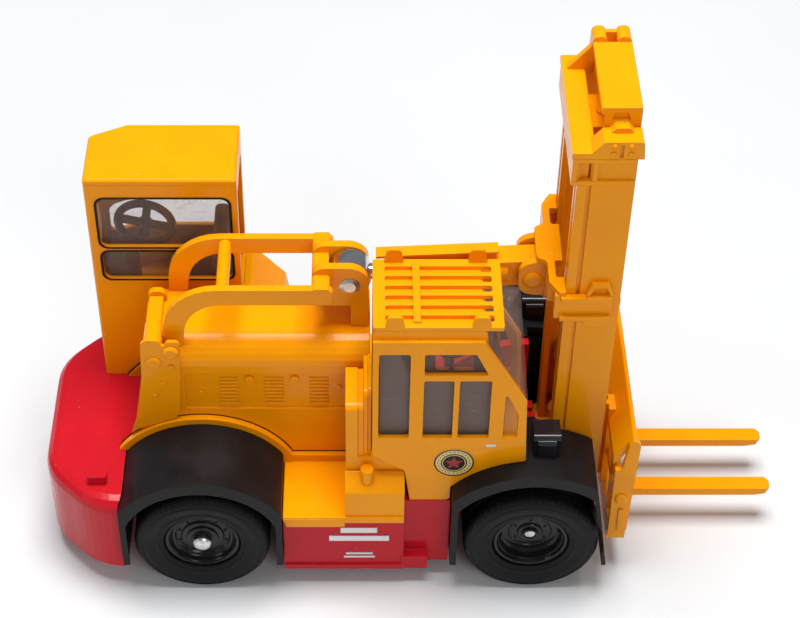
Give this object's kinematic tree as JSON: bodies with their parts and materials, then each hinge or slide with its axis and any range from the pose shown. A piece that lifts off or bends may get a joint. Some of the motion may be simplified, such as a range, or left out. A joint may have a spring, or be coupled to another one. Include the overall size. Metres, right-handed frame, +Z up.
{
  "type": "toy forklift",
  "caption": "Die-cast toy forklift with two cabs, hollow engine hood, overhead tilt ram, tall mast, sliding fork carriage and rolling wheels.",
  "frame": {"origin": "on the ground, at the middle of the overall box in plan", "axes": "+X towards the forks, +Y to the machine's left, +Z up"},
  "size_m": [0.1424, 0.052, 0.1073],
  "materials": {
    "yellow_paint": "glossy golden yellow paint on die-cast metal",
    "red_paint": "glossy crimson paint on die-cast metal",
    "base_black": "satin black paint",
    "fender_black": "satin black plastic",
    "lamp_black": "glossy black plastic",
    "hub_black": "glossy black plastic",
    "tyre_rubber": "matte black rubber",
    "steel": "plain steel pin",
    "chrome_rod": "polished chrome",
    "clear_glazing": "clear plastic glazing",
    "lens_clear": "clear lamp lens",
    "interior_plastic": "grey-brown moulded plastic",
    "steering_black": "dark grey plastic",
    "badge_print": "printed cream badge",
    "white_print": "printed off-white",
    "seal_black": "printed black window rubber"
  },
  "bodies": {
    "chassis": {"lower_body": "red_paint", "base_plate": "base_black", "base_rivets": "steel", "side_casting_left": "yellow_paint", "side_casting_right": "yellow_paint", "hood": "yellow_paint", "louvre_ribs": "yellow_paint", "rear_ear_plates": "yellow_paint", "ear_bolts": "yellow_paint", "gantry": "yellow_paint", "gantry_pin": "steel", "rear_fender_left": "fender_black", "rear_fender_right": "fender_black", "front_fender_left": "fender_black", "front_fender_right": "fender_black", "headlamp_left": "lamp_black", "headlamp_right": "lamp_black", "headlamp_lenses": "lens_clear", "rear_lamp": "red_paint", "fuel_tank": "yellow_paint", "fuel_cap": "yellow_paint", "air_cleaner": "yellow_paint", "front_cab_shell": "yellow_paint", "front_cab_glazing": "clear_glazing", "windscreen": "clear_glazing", "roof_guard": "yellow_paint", "front_cab_seat": "interior_plastic", "front_steering_wheel": "steering_black", "door_badge": "badge_print", "door_handle": "white_print", "side_markings": "white_print", "cab_fairing": "yellow_paint", "rear_cab_shell": "yellow_paint", "rear_cab_roof": "yellow_paint", "rear_cab_glazing": "clear_glazing", "window_seals": "seal_black", "rear_cab_seat": "interior_plastic", "rear_steering_wheel": "steering_black"},
    "front_wheels": {"front_axle": "steel", "front_hubs": "hub_black", "front_tyres": "tyre_rubber"},
    "rear_wheels": {"rear_axle": "steel", "rear_hubs": "hub_black", "rear_tyres": "tyre_rubber"},
    "mast": {"upright_left": "yellow_paint", "upright_right": "yellow_paint", "mast_foot": "yellow_paint", "mast_pivot_pin": "steel", "mast_strap": "yellow_paint", "strap_pin": "yellow_paint", "mast_head": "yellow_paint", "head_rivets": "yellow_paint", "lift_cylinder": "yellow_paint"},
    "ram_rod": {"tilt_rod": "chrome_rod"},
    "ram_barrel": {"tilt_barrel": "yellow_paint"},
    "carriage": {"carriage_frame": "yellow_paint", "side_plate_left": "yellow_paint", "side_plate_right": "yellow_paint", "carriage_rollers": "steel", "forks": "yellow_paint"}
  },
  "joints": [
    {"name": "front_wheels_spin", "type": "hinge", "parent": "chassis", "child": "front_wheels", "pos_m": [0.0222, 0, 0.013], "axis": [0, 1, 0], "continuous": true},
    {"name": "rear_wheels_spin", "type": "hinge", "parent": "chassis", "child": "rear_wheels", "pos_m": [-0.0407, 0, 0.013], "axis": [0, 1, 0], "continuous": true},
    {"name": "mast_tilt", "type": "hinge", "parent": "chassis", "child": "mast", "pos_m": [0.0252, 0, 0.0084], "axis": [0, 1, 0], "range_deg": [-5, 3]},
    {"name": "ram_swing", "type": "hinge", "parent": "chassis", "child": "ram_rod", "pos_m": [-0.0124, 0, 0.0609], "axis": [0, 1, 0], "range_deg": [-0.3, 0.5]},
    {"name": "ram_stroke", "type": "slide", "parent": "ram_rod", "child": "ram_barrel", "axis": [0.9985, 0, 0.0541], "range_m": [-0.005, 0.003]},
    {"name": "carriage_lift", "type": "slide", "parent": "mast", "child": "carriage", "axis": [0, 0, 1], "range_m": [-0.004, 0.05]}
  ],
  "couplings": [
    {"joint": "ram_swing", "follows": "mast_tilt", "ratio": -0.08},
    {"joint": "ram_stroke", "follows": "mast_tilt", "m_per_rad": 0.0544}
  ]
}
